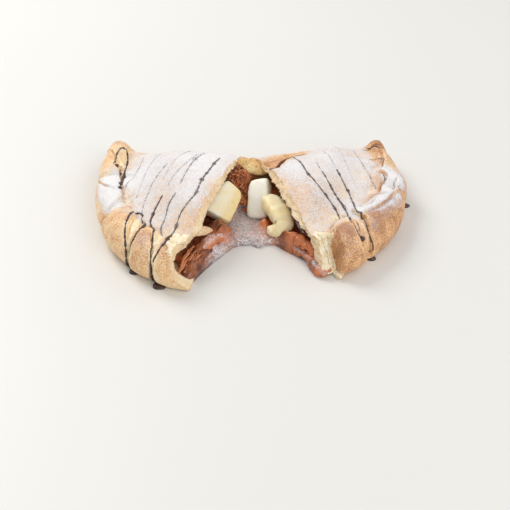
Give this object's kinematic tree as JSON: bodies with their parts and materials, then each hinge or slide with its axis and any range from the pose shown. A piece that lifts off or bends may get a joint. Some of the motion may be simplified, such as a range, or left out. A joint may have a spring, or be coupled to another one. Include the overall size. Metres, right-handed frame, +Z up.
{
  "type": "sweet calzone",
  "caption": "Baked half-moon calzone cut across the middle and opened, with chocolate and banana filling showing, on its flat base.",
  "frame": {"origin": "middle of the base, on the surface the calzone rests on", "axes": "+X runs from the left ear to the right ear as the diner sees it, +Y from the crimped rim to the folded side, +Z up"},
  "size_m": [0.2151, 0.1677, 0.0365],
  "materials": {
    "baked_dough": "baked dough, golden tan, matt",
    "chocolate": "melted chocolate spread, red-brown, glossy",
    "banana_flesh": "warm banana flesh, cream, moist"
  },
  "bodies": {
    "root": {"crust_left": "baked_dough", "crust_right": "baked_dough", "chocolate_filling": "chocolate", "banana_left": "banana_flesh", "banana_right": "banana_flesh", "banana_slice": "banana_flesh"}
  },
  "joints": []
}
